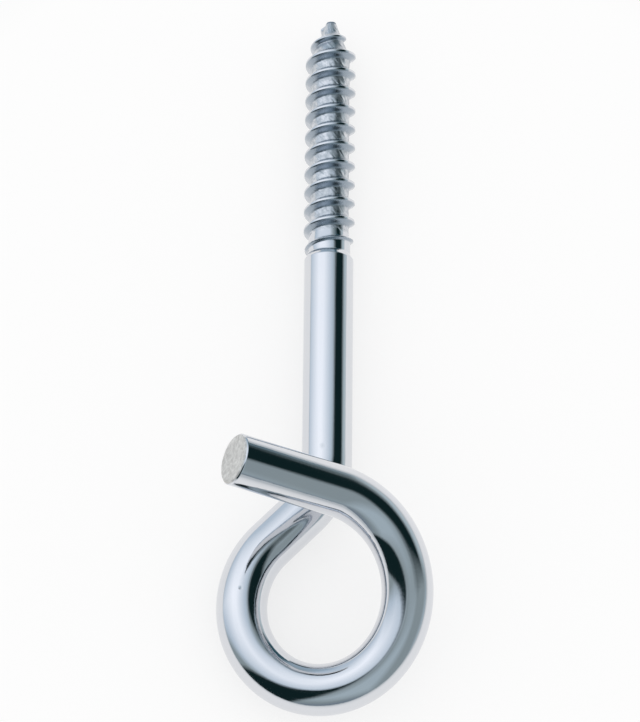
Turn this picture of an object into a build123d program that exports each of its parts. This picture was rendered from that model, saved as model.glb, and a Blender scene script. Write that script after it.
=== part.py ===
from build123d import *
from math import atan2, cos, degrees, radians, sin, tan
import os

# Screw hook: one steel rod with a rolled wood-screw thread and a blunt point at one end,
# and a pigtail loop at the other whose arm climbs out of the loop's plane across the shank.
# Drawn with the shank along Z, tip up, the loop's centre at the origin and the arm towards -Y,
# then laid down as the hook comes to rest. Sizes in mm.

rod_radius = 6.0

# heights above the loop's centre
shoulder = 87.3  # the full rod ends and narrows to the neck
neck_start, neck_end = 88.7, 91.5
core_start, core_end = 95.0, 142.4
stub_start = 148.7
tip_height = 151.9

# rolled thread
pitch = 5.0
front_height = 91.3  # height at which the ridge passes the -Y side
crest_radius = 6.25
core_radius = 4.7
neck_radius = 5.2
stub_radius = 2.3
tip_radius = 1.15
crest_width = 0.7
flank_angle = 30.0
bury = 0.35  # how deep the ridge's foot stands in the core
fin_crest, fin_width = 5.95, 0.24
fin_start, fin_end = 88.2, 94.3
turn_in_start, turn_in_end = 93.2, 94.45  # the full ridge rises out of the core here
turn_in_radius = 5.3
full_end = 142.55  # from here to the point the ridge runs inwards
ridge_angle = 200.0  # where the full ridge starts, away from the core's own seam at +X
point_turns = 1.5
point_angle = 27.5

# loop: an ellipse, leaning a little, that climbs slowly and then faster
loop_half_width = 19.1
loop_half_height = 20.7
loop_lean = -7.0
loop_offset = -0.4
loop_start_angle, loop_end_angle = 140.0, 450.0
climb = 24.0
climb_power = 2.5
loop_arcs = 12
leg_bend_radius = 18.0
arm_length = 27.0
cut_edge = 0.5

def loop_point(angle):
    """Centreline of the loop at an angle round its centre, in degrees from +X."""
    share = (angle - loop_start_angle) / (loop_end_angle - loop_start_angle)
    across = loop_half_width * cos(radians(angle))
    along = loop_half_height * sin(radians(angle))
    lean = radians(loop_lean)
    return Vector(loop_offset + across * cos(lean) - along * sin(lean),
                  -climb * share**climb_power,
                  across * sin(lean) + along * cos(lean))


def loop_heading(angle):
    return (loop_point(angle) - loop_point(angle - 0.01)).normalized()


def ridge(low, high, crest, width, slope=0.0):
    """A length of the thread's ridge between two heights, on a cylinder or on a cone, turned so
    that all lengths lie on one helix."""
    deep = crest_radius - core_radius + bury
    spread = width / 2 + deep * tan(radians(flank_angle))
    with BuildPart() as length:
        with BuildLine() as coil:
            Helix(pitch, high - low, crest, center=(0, 0, low), cone_angle=slope)
        with BuildSketch(Plane(origin=(crest, 0, low), x_dir=(1, 0, 0), z_dir=(0, 1, 0))):
            with BuildLine():
                Polyline((-deep, -spread), (0, -width / 2), (0, width / 2), (-deep, spread),
                         close=True)
            make_face()
        sweep(path=coil.line, is_frenet=True)
    return length.part.rotate(Axis.Z, ridge_angle + 360 * (low - turn_in_end) / pitch)


# leg: straight back from the loop's start, then one bend into the shank
loop_low = loop_point(loop_start_angle)
leg = loop_heading(loop_start_angle + 0.01)
leg_angle = atan2(-leg.X, -leg.Z)
leg_length = (-loop_low.X - leg_bend_radius * (1 - cos(leg_angle))) / sin(leg_angle)
leg_top = loop_low - leg * leg_length
bend_top = leg_top.Z + leg_bend_radius * sin(leg_angle)


def bend_point(angle):
    return Vector(leg_bend_radius * (cos(angle) - 1), 0, bend_top - leg_bend_radius * sin(angle))


# the ridge: its main length, the run in towards the point, the rise out of the core and the
# thin fin that ends it round the neck
rise_angle = degrees(atan2(crest_radius - turn_in_radius, turn_in_end - turn_in_start))
ridges = [
    ridge(turn_in_end, full_end, crest_radius, crest_width),
    ridge(full_end, full_end + pitch * point_turns, crest_radius, crest_width, -point_angle),
    ridge(turn_in_start, turn_in_end, turn_in_radius, crest_width, rise_angle),
    ridge(fin_start, fin_end, fin_crest, fin_width),
]

with BuildPart() as threaded_end:
    with BuildSketch(Plane.XZ):
        with BuildLine():
            Polyline(
                (0, bend_top), (rod_radius, bend_top), (rod_radius, shoulder),
                (neck_radius, neck_start), (neck_radius, neck_end), (core_radius, core_start),
                (core_radius, core_end), (stub_radius, stub_start),
                (tip_radius, tip_height), (0, tip_height), close=True,
            )
        make_face()
    revolve(axis=Axis.Z)
    add(ridges)

with BuildPart() as bent_rod:
    with BuildLine() as centreline:
        bend = ThreePointArc(bend_point(0), bend_point(leg_angle / 2), bend_point(leg_angle))
        straight = Line(bend @ 1, loop_low)
        piece = straight
        for i in range(1, loop_arcs + 1):
            angle = loop_start_angle + (loop_end_angle - loop_start_angle) * i / loop_arcs
            piece = TangentArc(piece @ 1, loop_point(angle), tangent=piece % 1)
        Line(piece @ 1, (piece @ 1) + (piece % 1) * arm_length)
    with BuildSketch(Plane(bend_point(0), z_dir=(0, 0, -1))):
        Circle(rod_radius)
    sweep()
    cut_face = bent_rod.faces().sort_by(Axis.Y)[0]
    chamfer(cut_face.edges(), cut_edge)

# the thread as a whole is turned so that its ridge passes the front at front_height
front_angle = 360 * (turn_in_end - front_height) / pitch - 90 - ridge_angle

with BuildPart() as upright:
    add(threaded_end.part.rotate(Axis.Z, front_angle))
    add(bent_rod.part)

# lying on its back, tip towards +Y and arm up: the thread's crests lift the tip a little, and
# the hook rolls until the leg touches the ground too
settle_pitch = atan2(crest_radius - rod_radius, turn_in_end + pitch - bend_top)
leg_middle = (leg_top + loop_low) * 0.5
settle_roll = settle_pitch * (bend_top - leg_middle.Z) / -leg_middle.X
lying = upright.part.moved(Location((0, 0, 0), (degrees(settle_pitch) - 90, 0, degrees(settle_roll))))
ground = lying.bounding_box()

with BuildPart() as screw_hook:
    with Locations((-ground.center().X, -ground.center().Y, -ground.min.Z)):
        add(lying)

screw_hook.part.label = "screw_hook"
os.makedirs("parts", exist_ok=True)
export_step(screw_hook.part, "parts/screw_hook.step")
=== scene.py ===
# %% [markdown]
# # A zinc-plated screw hook
# One steel rod, 12 mm thick. One end carries a wood-screw thread, the other is bent into a
# pigtail loop whose arm climbs over the shank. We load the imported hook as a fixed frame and
# then build its skin again, finer, so that the plating has something to shine on.

# %% Load the frame
import bpy
import numpy as np
from mathutils import Matrix


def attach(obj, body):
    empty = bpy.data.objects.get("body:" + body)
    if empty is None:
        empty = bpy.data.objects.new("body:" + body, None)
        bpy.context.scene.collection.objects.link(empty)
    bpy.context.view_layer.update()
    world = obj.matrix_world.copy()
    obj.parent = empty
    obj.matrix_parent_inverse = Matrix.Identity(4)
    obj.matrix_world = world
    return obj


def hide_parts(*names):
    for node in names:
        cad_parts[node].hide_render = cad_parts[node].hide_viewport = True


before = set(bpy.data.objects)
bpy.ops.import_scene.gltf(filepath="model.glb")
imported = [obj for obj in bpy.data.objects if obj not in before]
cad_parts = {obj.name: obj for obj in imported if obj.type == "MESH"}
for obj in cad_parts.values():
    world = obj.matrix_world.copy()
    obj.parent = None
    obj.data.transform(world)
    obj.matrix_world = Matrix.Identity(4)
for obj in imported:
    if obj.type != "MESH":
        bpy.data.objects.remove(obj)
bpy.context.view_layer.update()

# %% [markdown]
# ## The hook's sizes
# These are the sizes that the hook is made to, in mm and degrees. Heights run along the shank
# from the loop's centre towards the point. The hook is worked out standing up, and laid down at
# the end. The rod's skin is a hair thinner than the solid, so that its facets never poke out
# of the hook's box.

# %% Sizes of the rod
ROD = 6.0
SHOULDER, NECK_START, NECK_END = 87.3, 88.7, 91.5
CORE_START, CORE_END, STUB_START, TIP = 95.0, 142.4, 148.7, 151.9
CREST, CORE, NECK, STUB, POINT = 6.25, 4.7, 5.2, 2.3, 1.15
LEG_BEND, ARM, CUT_EDGE = 18.0, 27.0, 0.5
INSIDE = 0.015  # how much thinner than the solid the rod's skin is
AROUND = 112  # points round the rod
print("length of the threaded part:", round(TIP - CORE_START, 1), "mm")

# %% Sizes of the loop
LOOP_HALF_WIDTH, LOOP_HALF_HEIGHT = 19.1, 20.7
LOOP_OFFSET, LOOP_LEAN = -0.4, -7.0
LOOP_START, LOOP_TURN, LOOP_ARCS = 140.0, 310.0, 12
CLIMB, CLIMB_POWER = 24.0, 2.5
print("inside of the loop:", round(2 * (LOOP_HALF_WIDTH - ROD), 1), "by",
      round(2 * (LOOP_HALF_HEIGHT - ROD), 1), "mm")

# %% Sizes of the thread
PITCH, FRONT = 5.0, 91.3  # FRONT is the height at which the ridge passes the -Y side
RIDGE_HEIGHTS = [93.2, 94.45, 142.55, 150.05, 150.6]
RIDGE_CRESTS = [5.1, CREST, CREST, 2.5, 1.0]
RIDGE_SIDE = {"half_width": 0.42, "over": 0.1, "round_off": 0.22, "flank": 30}
FIN_START, FIN_END, FIN_CREST = 87.6, 94.4, 5.95
FIN_SIDE = {"half_width": 0.12, "over": 0.02, "round_off": 0.08, "flank": 22}
print("turns of the ridge:", round((RIDGE_HEIGHTS[-1] - RIDGE_HEIGHTS[0]) / PITCH, 1))

# %% [markdown]
# ## The line the rod follows
# A bent rod is a circle carried along a line. The line has a straight shank, one bend, a
# straight leg, a loop and a straight arm. The loop is an ellipse that leaves its own plane,
# slowly at first and then faster. It is drawn as twelve arcs, each one leaving the last
# without a corner, because that is also how the solid was bent.

# %% The loop's ellipse, and an arc that carries on from a line
def loop_point(angle):
    """An ellipse turned by a small lean, its height over the plane growing with the angle's
    share to the power 2.5: (a cos t, -24 share^2.5, b sin t)."""
    share = (angle - LOOP_START) / LOOP_TURN
    t, lean = np.radians(angle), np.radians(LOOP_LEAN)
    across, along = LOOP_HALF_WIDTH * np.cos(t), LOOP_HALF_HEIGHT * np.sin(t)
    return np.array([LOOP_OFFSET + across * np.cos(lean) - along * np.sin(lean),
                     -CLIMB * share**CLIMB_POWER,
                     across * np.sin(lean) + along * np.cos(lean)])


def arc_on(start, heading, end, steps):
    """Points of the arc that leaves start along heading and reaches end. With c the chord and
    a the angle between them, radius = |c| / (2 sin a) and
    point = start + radius (sin f heading + (1 - cos f) side), f from 0 to 2a."""
    chord = end - start
    size = np.linalg.norm(chord)
    half = np.arccos(chord @ heading / size)
    side = chord - (chord @ heading) * heading
    side = side / np.linalg.norm(side)
    f = np.linspace(0, 2 * half, steps + 1)[1:, None]
    points = start + size / (2 * np.sin(half)) * (np.sin(f) * heading + (1 - np.cos(f)) * side)
    return points, np.cos(2 * half) * heading + np.sin(2 * half) * side


print("the loop runs from", loop_point(LOOP_START).round(1), "to",
      loop_point(LOOP_START + LOOP_TURN).round(1))

# %% The whole line, from the shank to the cut end
BEND_POINTS, LEG_POINTS, ARC_STEPS, ARM_POINTS = 15, 15, 10, 16
low = loop_point(LOOP_START)
leg = loop_point(LOOP_START + 0.01) - low
leg = leg / np.linalg.norm(leg)
leg_angle = np.arctan2(-leg[0], -leg[2])
leg_length = (-low[0] - LEG_BEND * (1 - np.cos(leg_angle))) / np.sin(leg_angle)
BEND_TOP = low[2] - leg[2] * leg_length + LEG_BEND * np.sin(leg_angle)

turn = np.linspace(0, leg_angle, BEND_POINTS)[:, None]
bend = np.hstack([LEG_BEND * (np.cos(turn) - 1), 0 * turn, BEND_TOP - LEG_BEND * np.sin(turn)])
straight = bend[-1] + (low - bend[-1]) * np.linspace(0, 1, LEG_POINTS)[1:, None]
line, here, heading = [bend, straight], low, leg
for i in range(1, LOOP_ARCS + 1):
    reached = loop_point(LOOP_START + LOOP_TURN * i / LOOP_ARCS)
    points, heading = arc_on(here, heading, reached, ARC_STEPS)
    here = points[-1]
    line.append(points)
arm = here + heading * ARM * np.linspace(0, 1, ARM_POINTS)[1:, None]
line = np.vstack(line + [arm])
print("points along the bent rod:", len(line), "the shank starts at", round(BEND_TOP, 2))

# %% [markdown]
# ## The thread as a height field
# A rolled thread can be swept, but its edges are then sharp everywhere. Here the threaded end
# is one grid, angle round the shank by height, and a formula says how far each point stands
# out. Every turn of the ridge is the same hill, found by how far a point is from the nearest
# turn. A smooth maximum joins hill and core, which gives the root its rounding.

# %% Helpers for smooth shapes
def smooth_max(a, b, round_off):
    """The larger of two heights with the corner rounded: (a + b + sqrt((a - b)^2 + r^2)) / 2."""
    return (a + b + np.sqrt((a - b) ** 2 + round_off**2)) / 2


def ripple(u, v, turns, seed):
    """A rough surface that closes on itself: a sum of sines, each with whole turns round the
    shank and its own slope and phase, all drawn from one seed."""
    rng = np.random.default_rng(seed)
    total = 0.0
    for n in turns:
        slope, phase = rng.uniform(-1.6, 1.6) * n / CREST, rng.uniform(0, 2 * np.pi)
        total = total + np.sin(n * u + slope * v + phase)
    return total / np.sqrt(len(turns))


def drop(away, half_width, over, round_off, flank):
    """How far a ridge has fallen at a distance from its middle. It rises a little over its crest
    and then falls at the flank's angle: smooth max of (|away| - half width, -over) / tan flank."""
    return smooth_max(np.abs(away) - half_width, -over, round_off) / np.tan(np.radians(flank))


fallen = drop(1.0, **RIDGE_SIDE)
print("1 mm from its middle the ridge has fallen by", round(float(fallen), 2), "mm")

# %% How far the threaded end stands out
def threaded_radius(u, h):
    """Radius of the core and of the ridge at angle u (from +X, radians) and height h. The core is
    a line through its sizes. A ridge whose middle is at height m has the crest c(m) less its
    drop at h - m, with m the nearest place of the helix. The thin fin round the neck goes the
    same way."""
    core = np.interp(h, [BEND_TOP, SHOULDER, NECK_START, NECK_END, CORE_START, CORE_END,
                         STUB_START, TIP], [ROD, ROD, NECK, NECK, CORE, CORE, STUB, POINT])
    turns = (h - FRONT) / PITCH - (u + np.pi / 2) / (2 * np.pi)
    away = (turns - np.round(turns)) * PITCH
    middle = h - away
    crest = np.interp(middle, RIDGE_HEIGHTS, RIDGE_CRESTS)
    crest = np.where(middle < RIDGE_HEIGHTS[0], 0.0, crest)
    fin = np.where((middle > FIN_START) & (middle < FIN_END), FIN_CREST, 0.0)
    return core, np.maximum(crest - drop(away, **RIDGE_SIDE), fin - drop(away, **FIN_SIDE))


ROW = 0.15  # height from one ring to the next on the thread
PLAIN_ROWS = 16
u = np.linspace(0, 2 * np.pi, AROUND, endpoint=False)[None, :]
h = np.concatenate([np.linspace(BEND_TOP, SHOULDER - 4 * ROW, PLAIN_ROWS),
                    np.arange(SHOULDER - 3 * ROW, TIP - 0.8 * ROW, ROW),
                    [TIP - 0.4 * ROW, TIP - INSIDE]])[:, None]
core, ridge = threaded_radius(u, h)
print("rows along the threaded end:", len(h))

# %% Join core and ridge, and roughen the root
ROOT_REACH, ROOT_FADE, ROOT_LEAD = 0.5, 0.7, 1.5  # what counts as root, and how it fades
ROOT_ROUND, LOWERED = 0.25, 0.03  # the rounding, and how much the whole end is lowered
ROOT_ROUGH, ROUGH_TURNS = 0.035, (9, 13, 17, 22, 29, 37)
root = (np.clip((core + ROOT_REACH - ridge) / ROOT_FADE, 0, 1)
        * np.clip(h - CORE_START + ROOT_LEAD, 0, 1))
radius = smooth_max(core, ridge, ROOT_ROUND) - LOWERED
radius = radius + ROOT_ROUGH * root * ripple(u, h, ROUGH_TURNS, seed=4)
radius = np.where(h < SHOULDER, ROD - INSIDE, np.minimum(radius, CREST - INSIDE))
print("highest crest:", round(float(radius.max()), 3), "mm")

# %% [markdown]
# ## One skin
# The two grids share their points round the ring, so they are stacked into one grid and closed
# at both ends: a flat point, and a flat cut face with its edge broken by half a millimetre.

# %% Carry a circle along the bent line
def carry(points, start):
    """At each point of the line, two directions across it: the first pair is given, and each
    next one is the last one less its part along the new tangent, so the circle never twists."""
    tangent = np.gradient(points, axis=0)
    tangent = tangent / np.linalg.norm(tangent, axis=1)[:, None]
    side = np.empty_like(tangent)
    side[0] = start
    for i in range(1, len(points)):
        flat = side[i - 1] - (side[i - 1] @ tangent[i]) * tangent[i]
        side[i] = flat / np.linalg.norm(flat)
    return tangent, side, np.cross(side, tangent)


tangent, side, other = carry(line, np.array([1.0, 0.0, 0.0]))
print("the circle's sides at the cut end:", side[-1].round(3), other[-1].round(3))

# %% Stack the rings into one grid
FACE_BACK = 0.01  # the cut face lies this far behind the solid's
FACE_RINGS = np.array([[5.74, -CUT_EDGE / 2], [5.48, -FACE_BACK], [5.2, -FACE_BACK],
                       [3.6, -FACE_BACK], [1.8, -FACE_BACK]])  # radius, height over the cut
RIM_SHARE = 0.55  # the point's inner ring, as a share of its outer one
ring = u[0]
wide, high = np.cos(ring)[None, :, None], np.sin(ring)[None, :, None]
upright = np.stack([radius * np.cos(u), radius * np.sin(u), h + 0 * radius], axis=-1)[::-1]
bent = line[:, None, :] + (ROD - INSIDE) * (wide * side[:, None, :] + high * other[:, None, :])
out, lift = FACE_RINGS.T[:, :, None, None]
across = wide[0] * side[-1] + high[0] * other[-1]
end = line[-1] + out * across + lift * tangent[-1]
before_edge = bent[-1:] - (CUT_EDGE + 0.1) * tangent[-1]
bent[-1] -= CUT_EDGE * tangent[-1]
rim = upright[:1] * np.array([RIM_SHARE, RIM_SHARE, 1.0])
grid = np.concatenate([rim, upright, bent[1:-1], before_edge, bent[-1:], end])
centres = np.array([[0, 0, TIP - INSIDE], line[-1] - FACE_BACK * tangent[-1]])
print("grid of the whole hook:", grid.shape)

# %% [markdown]
# ## Lying down
# The hook was worked out standing. It rests on its back, on the thread's crests, the shank's
# lower end and the leg, with the arm in the air, so it is rolled a little and tipped back by
# not quite a right angle.

# %% Turn the grid as the solid lies
ROLLED, TIPPED = 0.40727, 0.22511 - 90
MOVED = np.array([0.3545, -62.61, 5.8775])


def lay_down(points):
    """Turn about the shank, then about X, then move, and change mm to metres:
    (Rx Rz p + t) / 1000."""
    roll, tip = np.radians(ROLLED), np.radians(TIPPED)
    about_z = np.array([[np.cos(roll), -np.sin(roll), 0],
                        [np.sin(roll), np.cos(roll), 0], [0, 0, 1]])
    about_x = np.array([[1, 0, 0], [0, np.cos(tip), -np.sin(tip)],
                        [0, np.sin(tip), np.cos(tip)]])
    return (points @ (about_x @ about_z).T + MOVED) / 1000


def between_rings(rows, count):
    """The numbers of a grid's points, of their right neighbours, and the quads between rings."""
    spot = np.arange(rows * count).reshape(rows, count)
    right = np.roll(spot, -1, axis=1)
    quads = np.stack([spot[:-1], spot[1:], right[1:], right[:-1]], axis=-1).reshape(-1, 4)
    return spot, right, quads


def skin(name, grid, centres):
    """Quads between neighbouring rings, closed round, with a fan of triangles at each end."""
    rows, count = grid.shape[:2]
    spot, right, quads = between_rings(rows, count)
    first = np.stack([np.full(count, rows * count), spot[0], right[0]], axis=-1)
    last = np.stack([np.full(count, rows * count + 1), right[-1], spot[-1]], axis=-1)
    mesh = bpy.data.meshes.new(name)
    points = lay_down(np.vstack([grid.reshape(-1, 3), centres]))
    mesh.from_pydata(points.tolist(), [], quads.tolist() + first.tolist() + last.tolist())
    mesh.shade_smooth()
    piece = bpy.data.objects.new(name, mesh)
    bpy.context.scene.collection.objects.link(piece)
    return piece


hook = skin("zinc_plated_hook", grid, centres)
print("faces of the hook:", len(hook.data.polygons))

# %% [markdown]
# ## What the finish needs to know
# Three things change over the hook. Two belong to the thread. One is how deep a point lies. The
# other is painted shade: on the photographed hook the slopes that face the loop look darker
# from above than their reflections alone come out here. Why is not known, so the shade is a
# guess, painted strongest on top and at the rim of the point. The third is where a point lies on
# the rod as it was drawn, before it was bent: a place on a straight rod, with the length
# squeezed, so that any noise read there is stretched into fine lines along the rod.

# %% How deep a point lies, and the painted shade
TONE_START, TONE_END, RIM_START = NECK_START - 0.5, STUB_START + 1, TIP - 0.5
BELOW = 0.25  # share of the tone on the underside


def attribute(piece, name, kind, values):
    """One entry for each point, by rows of the grid, with the two end centres last."""
    flat = values.reshape(-1, values.shape[-1])
    layer = piece.data.attributes.new(name, kind, "POINT")
    flat = np.vstack([flat, flat[:1], flat[-1:]]).astype(np.float32)
    layer.data.foreach_set("value" if kind == "FLOAT" else "vector", flat.ravel())


def on_thread(piece, name, values):
    """An attribute that is 0 everywhere but on the threaded end's rows."""
    whole = np.zeros((*grid.shape[:2], 1))
    whole[1:1 + len(h), :, 0] = values[::-1]
    attribute(piece, name, "FLOAT", whole)


slope = np.gradient(radius, h[:, 0], axis=0)
# painted shade: the slopes that face the loop are darkened, more on top than on the underside, and
# the rim of the point in full
painted_shade = np.clip(slope, 0, 1) * (h > TONE_START) * (h < TONE_END)
painted_shade = painted_shade * (BELOW + (1 - BELOW) * np.sqrt(np.clip(-np.sin(u), 0, 1)))
painted_shade = np.where(h > RIM_START, 1.0, painted_shade)
on_thread(hook, "in_root", root)
on_thread(hook, "painted_shade", painted_shade)
print("share of the thread's points with a tone:", round(float((painted_shade > 0).mean()), 2))

# %% Where a point lies on the straight rod
SQUEEZE = 0.03  # what a mm of length counts for in the noise
steps = np.linalg.norm(np.diff(grid.mean(axis=1), axis=0), axis=1)
along = np.append(0, np.cumsum(steps))
drawn = np.stack([ROD * np.cos(ring) + 0 * along[:, None],
                  ROD * np.sin(ring) + 0 * along[:, None],
                  SQUEEZE * along[:, None] + 0 * ring], axis=-1)
attribute(hook, "drawn", "FLOAT_VECTOR", drawn)
print("rod length from point to cut:", round(float(along.max()), 1), "mm")

# %% [markdown]
# ## Shader maths as plain expressions
# A node graph is easier to read as a formula. The class below wraps one output socket, and its
# operators add the Math node that does the sum.

# %% A socket with operators
class Value:
    """One output socket of a material, with + - * / and a few named functions."""

    def __init__(self, material, socket):
        self.material, self.socket = material, socket

    def _math(self, operation, *others, clamp=False):
        node = self.material.node_tree.nodes.new("ShaderNodeMath")
        node.operation, node.use_clamp = operation, clamp
        for place, value in enumerate((self,) + others):
            connect(self.material, node.inputs[place], value)
        return Value(self.material, node.outputs[0])

    def __add__(self, other):
        return self._math("ADD", other)

    def __sub__(self, other):
        return self._math("SUBTRACT", other)

    def __rsub__(self, other):
        return self._math("MULTIPLY_ADD", -1.0, other)

    def __mul__(self, other):
        return self._math("MULTIPLY", other)

    def __truediv__(self, other):
        return self._math("DIVIDE", other)

    __radd__, __rmul__ = __add__, __mul__

    def least(self, other):
        return self._math("MINIMUM", other)

    def root(self):
        return self._math("SQRT")

    def arccosine(self):
        return self._math("ARCCOSINE")

    def clamped(self):
        return self._math("ADD", 0.0, clamp=True)


def connect(material, target, value):
    """A link where the value is a socket, and the socket's own setting where it is a number."""
    if isinstance(value, Value):
        material.node_tree.links.new(value.socket, target)
    elif isinstance(value, tuple) and len(value) == 3 and target.type == "RGBA":
        target.default_value = (*value, 1.0)
    else:
        target.default_value = value


print("a socket can now be added, subtracted, multiplied and divided")

# %% Materials and their nodes
MIX_SHARE, MIX_FIRST, MIX_SECOND, MIX_COLOUR = 0, 6, 7, 2  # a colour mix's sockets


def new_material(name):
    material = bpy.data.materials.new(name)
    material.use_nodes = True
    material.node_tree.nodes.clear()
    return material


def node(material, kind, settings=None, output=0, **values):
    """Any other node: its settings first, then the values or links of its named sockets."""
    made = material.node_tree.nodes.new(kind)
    for name, setting in (settings or {}).items():
        setattr(made, name, setting)
    for name, value in values.items():
        connect(material, made.inputs[name.replace("_", " ")], value)
    return Value(material, made.outputs[output])


def surface(material, shader):
    """Joins a shader to the material's output."""
    out = material.node_tree.nodes.new("ShaderNodeOutputMaterial")
    material.node_tree.links.new(shader.socket, out.inputs["Surface"])


def blend(material, share, first, second):
    """A colour between two, by a share from 0 to 1."""
    made = material.node_tree.nodes.new("ShaderNodeMix")
    made.data_type = "RGBA"
    for place, value in ((MIX_SHARE, share), (MIX_FIRST, first), (MIX_SECOND, second)):
        connect(material, made.inputs[place], value)
    return Value(material, made.outputs[MIX_COLOUR])


def noise(material, place, scale, detail, roughness=0.5):
    return node(material, "ShaderNodeTexNoise", Vector=place, Scale=scale, Detail=detail,
                Roughness=roughness)


def sharpened(share, gain):
    """A share pushed away from its middle: (share - 0.5) gain + 0.5, kept from 0 to 1."""
    return ((share - 0.5) * gain + 0.5).clamped()


def spot_at(material, place, centre, size):
    """A small round spot, 1 at its centre and 0 from size outwards: 1 - |place - centre| / size."""
    away = node(material, "ShaderNodeVectorMath", {"operation": "DISTANCE"}, output="Value",
                Vector=place)
    away.socket.node.inputs[1].default_value = centre
    return (1.0 - away / size).clamped()


print("materials so far:", len(bpy.data.materials))

# %% [markdown]
# ## Bright zinc
# Zinc is plated on in a bath. On the smooth rod it is almost a mirror, with a cool, slightly
# lilac cast and faint clouds of warmer grey. Between the ridges it looks rough and mottled. One
# material does both: the root's attribute moves it from the one to the other. A small pit on the
# loop and a faint smudge on the shank are two spots at their own places.

# %% Zinc plating
COOL, WARM = (0.68, 0.70, 0.745), (0.72, 0.73, 0.75)
# SHADED is the colour of the painted shade on the thread's slopes
PITTED, SHADED = (0.40, 0.45, 0.48), (0.20, 0.27, 0.34)
PIT, PIT_SIZE = (-0.01933, -0.05995, 0.01214), 0.0006
SMUDGE, SMUDGE_SIZE, SMUDGE_SHARE = (-0.00071, -0.02489, 0.01193), 0.0009, 0.35
zinc = new_material("bright_zinc")
place = node(zinc, "ShaderNodeTexCoord", output="Object")
depth = node(zinc, "ShaderNodeAttribute", {"attribute_name": "in_root"}, output="Fac")
# the painted shade on the thread's slopes, read from its attribute
shade_and_dullness = node(zinc, "ShaderNodeAttribute", {"attribute_name": "painted_shade"}, output="Fac")
on_rod = node(zinc, "ShaderNodeAttribute", {"attribute_name": "drawn"}, output="Vector")
cloud = noise(zinc, place, scale=90.0, detail=3.0)
grain = noise(zinc, place, scale=1500.0, detail=2.0)
mottle = noise(zinc, place, scale=900.0, detail=3.0, roughness=0.6)
streak = noise(zinc, on_rod, scale=1.6, detail=4.0, roughness=0.6)
cool_or_warm = blend(zinc, cloud, COOL, WARM)
pitted = sharpened(mottle, 4.0) * depth
pit = spot_at(zinc, place, PIT, PIT_SIZE) + spot_at(zinc, place, SMUDGE, SMUDGE_SIZE) * SMUDGE_SHARE
colour = blend(zinc, (pitted * 0.5 + pit).clamped(), cool_or_warm, PITTED)
# painted shade: the marked slopes go towards SHADED, and below they are also made rougher
colour = blend(zinc, shade_and_dullness * 0.8, colour, SHADED)
rough = (0.07 + (cloud - 0.5) * 0.06 + (streak - 0.5) * 0.22 + depth * 0.16
         + (pitted + pit + shade_and_dullness) * 0.2)
height = grain * 0.1 + mottle * depth + streak * 0.25 - pit * 2.0
bump = node(zinc, "ShaderNodeBump", Height=height, Distance=0.00006, Strength=0.6)
surface(zinc, node(zinc, "ShaderNodeBsdfPrincipled", Base_Color=colour, Metallic=1.0,
                   Roughness=rough.clamped(), Normal=bump))
print("zinc plating has", len(zinc.node_tree.nodes), "nodes")

# %% [markdown]
# ## The cut end
# The arm ends where the rod was cut off. The face there is dull, a little warm, and finely torn.
# It gets its own material, because almost nothing of the mirror is left.

# %% The cut face's finish
PALE_STEEL, DARK_STEEL = (0.90, 0.88, 0.85), (0.66, 0.64, 0.61)
torn = new_material("dull_cut_face")
place = node(torn, "ShaderNodeTexCoord", output="Object")
tear = noise(torn, place, scale=900.0, detail=4.0, roughness=0.7)
patch = noise(torn, place, scale=900.0, detail=3.0, roughness=0.7)
colour = blend(torn, sharpened(patch, 3.0), PALE_STEEL, DARK_STEEL)
bump = node(torn, "ShaderNodeBump", Height=tear, Distance=0.0002, Strength=0.7)
surface(torn, node(torn, "ShaderNodeBsdfPrincipled", Base_Color=colour, Metallic=1.0,
                   Roughness=0.55 + tear * 0.1, Normal=bump))
print("cut face has", len(torn.node_tree.nodes), "nodes")

# %% [markdown]
# ## The finishes on their faces
# The faces are numbered ring by ring, and the two fans come last. So the cut face is the last
# few rings and the last fan. The skin then takes the solid's place in the frame.

# %% Put the two finishes on their faces
CUT = 1  # the number of the cut face's material
hook.data.materials.append(zinc)
hook.data.materials.append(torn)
slots = np.zeros(len(hook.data.polygons), dtype=np.int32)
slots[(len(grid) - len(FACE_RINGS)) * AROUND:(len(grid) - 1) * AROUND] = CUT
slots[-AROUND:] = CUT
hook.data.polygons.foreach_set("material_index", slots)
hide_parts("screw_hook")
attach(hook, "root")
print("faces on the cut end:", int((slots == CUT).sum()))

# %% [markdown]
# ## A pale floor in a pale room
# The hook lies on white paper. Seen directly or in the metal, most of the paper's brightness is
# its own, so it stays as even as a photographer's backdrop, and the rest is lit, so that it
# keeps the hook's shadow. Away from the hook the paper fades into a light grey table. That grey
# shows in the metal as a quiet band between the white rim and the tent. The room lights with
# plain white, and where it is seen past the floor's far edge it has the table's grey.

# %% Helpers for the studio
def emission(material, colour):
    return node(material, "ShaderNodeEmission", Color=colour)


def mix_shaders(material, share, first, second):
    made = material.node_tree.nodes.new("ShaderNodeMixShader")
    for place, value in enumerate((share, first, second)):
        connect(material, made.inputs[place], value)
    return Value(material, made.outputs[0])


def seen_by_camera(material):
    """1 where the camera looks at a thing, directly, in the metal or through something, and 0
    where the thing only lights."""
    camera, glossy, through = [node(material, "ShaderNodeLightPath", output=ray) for ray in
                               ("Is Camera Ray", "Is Glossy Ray", "Is Transmission Ray")]
    return (camera + glossy + through).clamped()


def set_up(name, points, faces, material):
    """A thing of the studio: its mesh in metres and its material."""
    mesh = bpy.data.meshes.new(name)
    mesh.from_pydata(points, [], faces)
    mesh.materials.append(material)
    thing = bpy.data.objects.new(name, mesh)
    bpy.context.scene.collection.objects.link(thing)
    return thing


print("studio helpers ready, for", bpy.context.scene.name)

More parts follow.
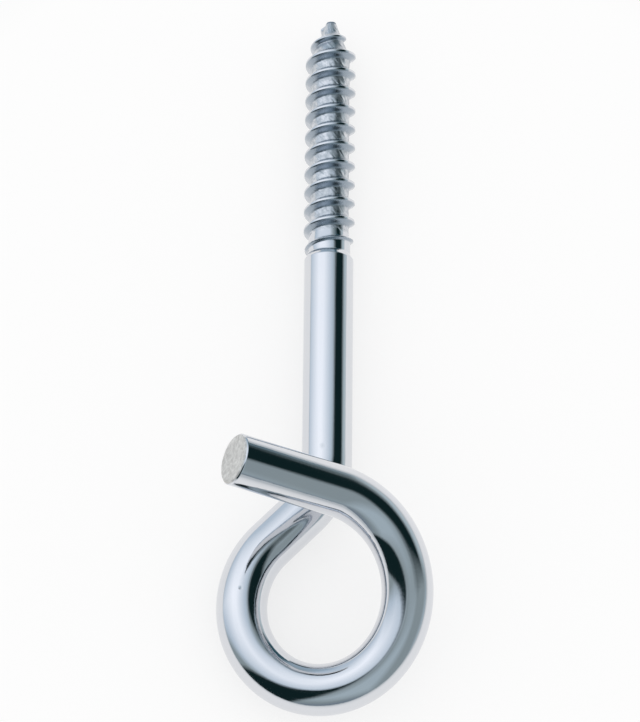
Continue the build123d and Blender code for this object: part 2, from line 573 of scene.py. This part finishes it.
# %% Floor and room
TABLE, PAPER, GLOW = (0.58, 0.62, 0.64), (0.97, 0.97, 0.97), (0.99, 0.99, 0.99)
OWN_LIGHT = 0.7  # share of the paper's brightness that is its own
PAPER_REACH, PAPER_FADE = 0.12, 0.22
FLOOR_REACH, FLOOR_LEVEL = 3, -0.0002
paper = new_material("white_paper")
seen = seen_by_camera(paper)
lit = node(paper, "ShaderNodeBsdfDiffuse", Color=PAPER)
white = mix_shaders(paper, seen * OWN_LIGHT, lit, emission(paper, GLOW))
place = node(paper, "ShaderNodeTexCoord", output="Object")
away = node(paper, "ShaderNodeVectorMath", {"operation": "LENGTH"}, output="Value", Vector=place)
table = node(paper, "ShaderNodeBsdfDiffuse", Color=TABLE)
surface(paper, mix_shaders(paper, ((away - PAPER_REACH) / PAPER_FADE).clamped(), white, table))
corners = [(x * FLOOR_REACH, y * FLOOR_REACH, FLOOR_LEVEL)
           for x, y in ((-1, -1), (1, -1), (1, 1), (-1, 1))]
set_up("pale_floor", corners, [(0, 1, 2, 3)], paper)
world = bpy.data.worlds.new("pale_room")
world.use_nodes = True
room = blend(world, seen_by_camera(world), (1.0, 1.0, 1.0), TABLE)
world.node_tree.links.new(room.socket, world.node_tree.nodes["Background"].inputs["Color"])
bpy.context.scene.world = world
print("the floor is", 2 * FLOOR_REACH, "m wide")

# %% [markdown]
# ## A tent for the metal
# Polished metal has no look of its own: it shows what stands round it. Over the hook hangs a
# dome with a radius of 2 m. It is bright on the left, grey towards the camera's foot, and has
# two black cloths, one to the right and one low on the left. Only the metal sees it. The cloths'
# corners, colours and softness were fitted by least squares to how the photographed hook looks
# from the camera's one angle, then rounded and changed. They say nothing of the real
# studio. Places on the dome are given as on a round chart: the middle is straight up, 90 is the
# horizon, x is to the right and y along the shank.

# %% The chart, and a cloth on it
tent = new_material("tent_cloth")
place = node(tent, "ShaderNodeTexCoord", output="Object")
x, y, z = [node(tent, "ShaderNodeSeparateXYZ", output=axis,
                Vector=node(tent, "ShaderNodeVectorMath", {"operation": "NORMALIZE"},
                            Vector=place)) for axis in "XYZ"]
from_top = z.arccosine() * (180 / np.pi)
spread = (x * x + y * y).root() + 0.0001  # never quite 0, so that it can divide
chart_x, chart_y = from_top * x / spread, from_top * y / spread


def cloth(corners, soft):
    """1 inside a convex outline and 0 outside, fading over soft degrees: the least of the
    distances to its sides, each ((m - p) . n) / soft + 1/2 with n pointing inwards."""
    inside = None
    for (x0, y0), (x1, y1) in zip(corners, corners[1:] + corners[:1]):
        length = np.hypot(x1 - x0, y1 - y0)
        nx, ny = (y0 - y1) / length / soft, (x1 - x0) / length / soft
        edge = chart_x * nx + chart_y * ny + (0.5 - x0 * nx - y0 * ny)
        inside = edge if inside is None else inside.least(edge)
    return inside.clamped()


print("the chart takes", len(tent.node_tree.nodes), "nodes")

# %% What hangs where: each cloth's colour, corners and softness
SLATE, TEAL, BLACK = (0.20, 0.25, 0.30), (0.04, 0.10, 0.13), (0.006, 0.018, 0.020)
GREY, SMOKE, PALE = (0.30, 0.36, 0.38), (0.45, 0.54, 0.59), (0.56, 0.66, 0.70)
MILK, BRIGHT, HAZE = (0.60, 0.70, 0.80), (1.25, 1.28, 1.34), (0.34, 0.45, 0.55)
hung = [
    (SMOKE, [(-24, -60), (34, -76), (34, -23), (11, -25)], 18),
    (PALE, [(78, 11), (128, -6), (130, 110), (56, 70)], 20),
    (SMOKE, [(78, -90), (130, -90), (130, 0), (86, 0), (74, -40)], 12),
    (SLATE, [(-60, -110), (60, -110), (40, -82), (-30, -78)], 16),
    (MILK, [(-111, 12), (-62, -18), (-17, -26), (2, -12), (25, 21), (5, 55), (-37, 109),
            (-112, 90)], 15),
    (HAZE, [(-31, 76), (60, 71), (60, 110), (-61, 110)], 21),
    (BRIGHT, [(-66, 22), (-44, 3), (-12, 2), (-6, 33), (-48, 40)], 44),
    (TEAL, [(30, 41), (55, 53), (55, 74), (44, 104), (16, 104)], 10),
    (BLACK, [(23, 6), (24, -10), (32, -15), (46, -14), (73, -2), (73, 19), (62, 44), (58, 58),
             (43, 62), (34, 38)], 11),
    (BLACK, [(-104, -19), (-100, -60), (-52, -98), (-34, -83), (-19, -50), (-9, -37), (3, -21),
             (-5, -14), (-22, -18)], 7),
]
colour = GREY
for shade, corners, soft in hung:
    colour = blend(tent, cloth(corners, soft), colour, shade)
surface(tent, emission(tent, colour))
print("cloths in the tent:", len(hung))

# %% The dome that carries them
DOME, DOME_AROUND, DOME_RINGS, TOP_GAP = 2.0, 64, 20, 0.02
turn, rise = np.meshgrid(np.linspace(0, 2 * np.pi, DOME_AROUND, endpoint=False),
                         np.linspace(0, np.pi / 2 - TOP_GAP, DOME_RINGS))
dome = DOME * np.stack([np.cos(rise) * np.cos(turn), np.cos(rise) * np.sin(turn),
                        np.sin(rise)], axis=-1)
spot, _, quads = between_rings(*dome.shape[:2])
faces = quads[:, [0, 3, 2, 1]].tolist() + [spot[-1].tolist()]
tent_dome = set_up("tent", dome.reshape(-1, 3).tolist(), faces, tent)
tent_dome.visible_camera = False
tent_dome.visible_diffuse = False
tent_dome.visible_shadow = False
print("faces of the dome:", len(faces))

# %% [markdown]
# ## The camera
# The photograph looks down on the hook, from a little behind the loop, with a long lens.

# %% Camera
TILT, LEAN, DISTANCE = np.radians(21.0), np.radians(0.6), 0.720
TARGET = np.array([-0.00155, -0.00131, 0.00610])
ASIDE, LOWER = 0.0071, 0.0039  # small turns of the view
SENSOR, PICTURE_HEIGHT, PIXEL = 36, 722, 0.00024  # mm, pixels, metres at the hook
back = np.array([ASIDE * np.cos(TILT), -np.sin(TILT) - LOWER * np.cos(TILT), np.cos(TILT)])
back = back / np.linalg.norm(back)
up = np.array([0.0, 1.0, 0.0])
right = np.cross(up, back)
right = right / np.linalg.norm(right)
up = np.cross(back, right)
turned = right * np.cos(LEAN) + up * np.sin(LEAN)
up = np.cross(back, turned)
camera = bpy.data.objects.new("camera", bpy.data.cameras.new("camera"))
camera.data.lens = SENSOR * DISTANCE / (PICTURE_HEIGHT * PIXEL)
camera.data.clip_start = 0.01
matrix = np.eye(4)
matrix[:3] = np.stack([turned, up, back, TARGET + DISTANCE * back], axis=1)
camera.matrix_world = Matrix(matrix.tolist())
bpy.context.scene.collection.objects.link(camera)
bpy.context.scene.camera = camera
bpy.context.scene.view_settings.view_transform = "Standard"
print("camera at", matrix[:3, 3].round(3))
